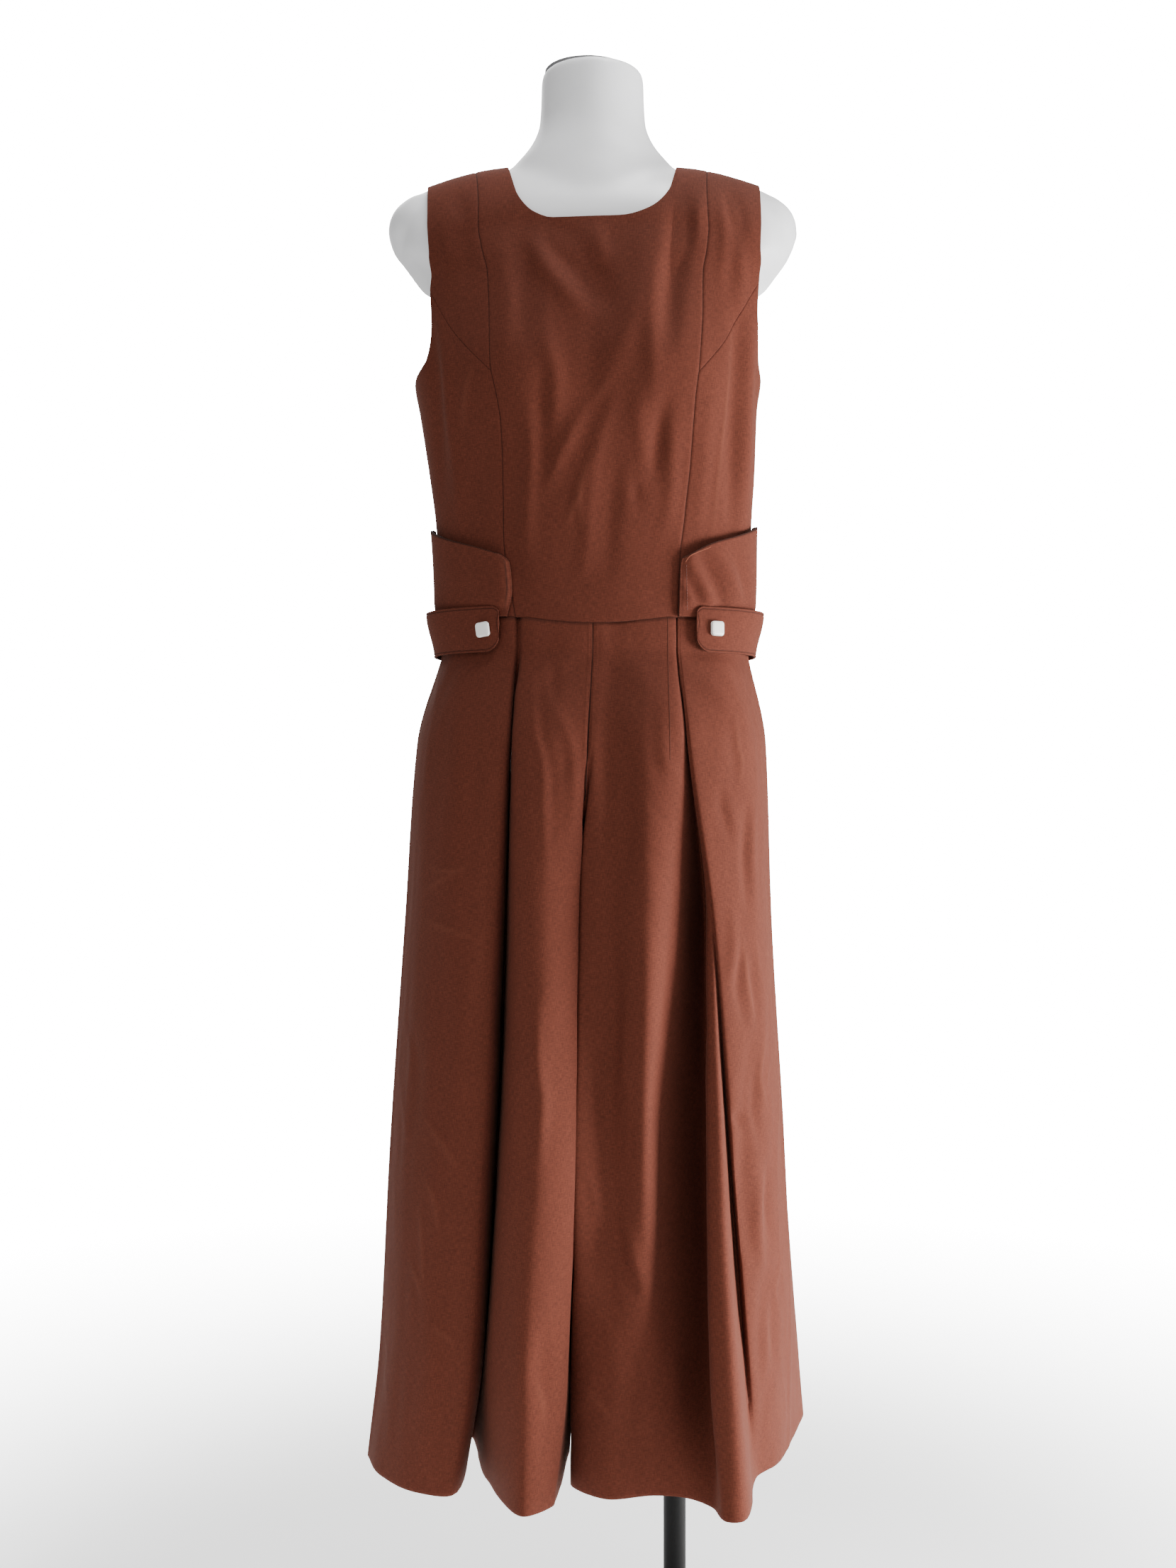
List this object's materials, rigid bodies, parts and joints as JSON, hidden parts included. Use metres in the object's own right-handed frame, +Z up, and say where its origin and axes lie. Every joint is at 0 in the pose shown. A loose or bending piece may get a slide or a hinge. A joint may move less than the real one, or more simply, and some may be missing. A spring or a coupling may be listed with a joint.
{
  "type": "jumpsuit on a dress form",
  "caption": "sleeveless wide-leg cropped jumpsuit in rust linen weave with a buttoned belt and waist flaps, on a white limbless dress form with a black pole and round base",
  "frame": {"origin": "on the underside of the round base, straight below the dress form's centre line", "axes": "+Z runs up along the form, -Y is the wearer's front, +X is the wearer's left"},
  "size_m": [0.4534, 0.311, 1.583],
  "materials": {
    "linen": "matte",
    "buttons": "gloss",
    "form": "satin",
    "cap": "satin",
    "stand": "satin",
    "zip_chain": "matte",
    "zip_metal": "satin"
  },
  "bodies": {
    "garment": {"back_left": "linen", "back_right": "linen", "belt": "linen", "button_left": "buttons", "button_right": "buttons", "form_neck_cap": "cap", "form_torso": "form", "front_centre": "linen", "front_shoulder_left": "linen", "front_shoulder_right": "linen", "front_side_left": "linen", "front_side_right": "linen", "stand_base": "stand", "stand_collar": "stand", "stand_pole": "stand", "trouser_back_left": "linen", "trouser_back_right": "linen", "trouser_front_left": "linen", "trouser_front_right": "linen", "waist_flap_left": "linen", "waist_flap_right": "linen", "zip_chain": "zip_chain", "zip_slider": "zip_metal"},
    "zip_pull": {"zip_pull": "zip_metal"}
  },
  "joints": [
    {"name": "zip_pull_hinge", "type": "hinge", "parent": "garment", "child": "zip_pull", "pos_m": [0, 0.10387, 1.42717], "axis": [1, 0, 0], "range_deg": [0, 150]}
  ]
}
